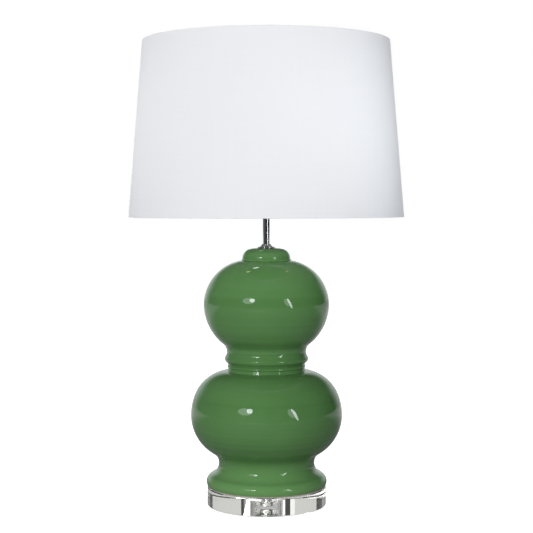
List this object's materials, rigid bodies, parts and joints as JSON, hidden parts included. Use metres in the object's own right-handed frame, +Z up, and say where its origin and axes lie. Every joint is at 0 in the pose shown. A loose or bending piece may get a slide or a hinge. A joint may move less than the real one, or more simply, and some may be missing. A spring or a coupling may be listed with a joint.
{
  "type": "table lamp",
  "caption": "Double gourd table lamp: glazed ceramic body on a clear round base, lamp tube, switched lampholder, globe bulb and tapered drum shade.",
  "frame": {"origin": "on the floor under the lamp's axis, at the bottom of the base pads", "axes": "+Z up along the lamp's axis, -Y to the front, +X to the lamp's left as it faces the viewer's right"},
  "size_m": [0.3999, 0.4, 0.677],
  "materials": {
    "clear_base": "clear polished acrylic",
    "clear_rubber": "clear soft pads",
    "zinc_steel": "bright zinc",
    "foam_gasket": "thin foam ring",
    "green_glaze": "high-gloss green glaze",
    "black_rubber": "moulded rubber",
    "chrome_tube": "polished chrome",
    "holder_plastic": "white moulded plastic",
    "porcelain": "unglazed porcelain",
    "brass_contact": "stamped brass",
    "switch_plastic": "white moulded plastic",
    "white_wire": "white powder coat",
    "shade_liner": "white styrene sheet",
    "white_linen": "fine white plain weave",
    "nickel_cap": "nickel plate",
    "black_glass": "black insulating glass",
    "bulb_plastic": "white moulded plastic",
    "light_board": "white-masked board",
    "opal_dome": "opal diffuser"
  },
  "bodies": {
    "stand": {"base_disc": "clear_base", "base_pads": "clear_rubber", "base_washer": "zinc_steel", "spring_washer": "zinc_steel", "base_nut": "zinc_steel", "foot_gasket": "foam_gasket", "ceramic_body": "green_glaze", "cable_grommet": "black_rubber", "lamp_tube": "chrome_tube", "neck_bush": "black_rubber", "neck_cap": "chrome_tube", "holder_cap": "holder_plastic", "lock_screw": "zinc_steel", "insulator": "porcelain", "terminal_screws": "brass_contact", "holder_shell": "holder_plastic", "screw_shell": "brass_contact", "centre_contact": "brass_contact", "switch_blades": "brass_contact"},
    "switch": {"switch_bar": "switch_plastic", "switch_sleeve": "brass_contact"},
    "shade_seat": {"lower_shade_ring": "holder_plastic"},
    "shade": {"fitter_ring": "white_wire", "fitter_arm_1": "white_wire", "fitter_arm_2": "white_wire", "fitter_arm_3": "white_wire", "top_wire": "white_wire", "bottom_wire": "white_wire", "shade_liner": "shade_liner", "shade_fabric": "white_linen", "top_hem": "white_linen", "bottom_hem": "white_linen"},
    "clamp_ring": {"upper_shade_ring": "holder_plastic"},
    "bulb": {"bulb_tip": "nickel_cap", "bulb_insulator": "black_glass", "bulb_cap": "nickel_cap", "bulb_housing": "bulb_plastic", "light_board": "light_board", "bulb_dome": "opal_dome"}
  },
  "joints": [
    {"name": "switch_push", "type": "slide", "parent": "stand", "child": "switch", "axis": [-1, 0, 0], "range_m": [0, 0.005]},
    {"name": "shade_lift", "type": "slide", "parent": "stand", "child": "shade_seat", "axis": [0, 0, 1], "range_m": [0, 0.12]},
    {"name": "shade_turn", "type": "hinge", "parent": "shade_seat", "child": "shade", "pos_m": [0, 0, 0.4885], "axis": [0, 0, 1], "continuous": true},
    {"name": "ring_lift", "type": "slide", "parent": "shade_seat", "child": "clamp_ring", "axis": [0, 0, 1], "range_m": [0, 0.024]},
    {"name": "bulb_lift", "type": "slide", "parent": "shade_seat", "child": "bulb", "axis": [0, 0, 1], "range_m": [0, 0.21]}
  ]
}
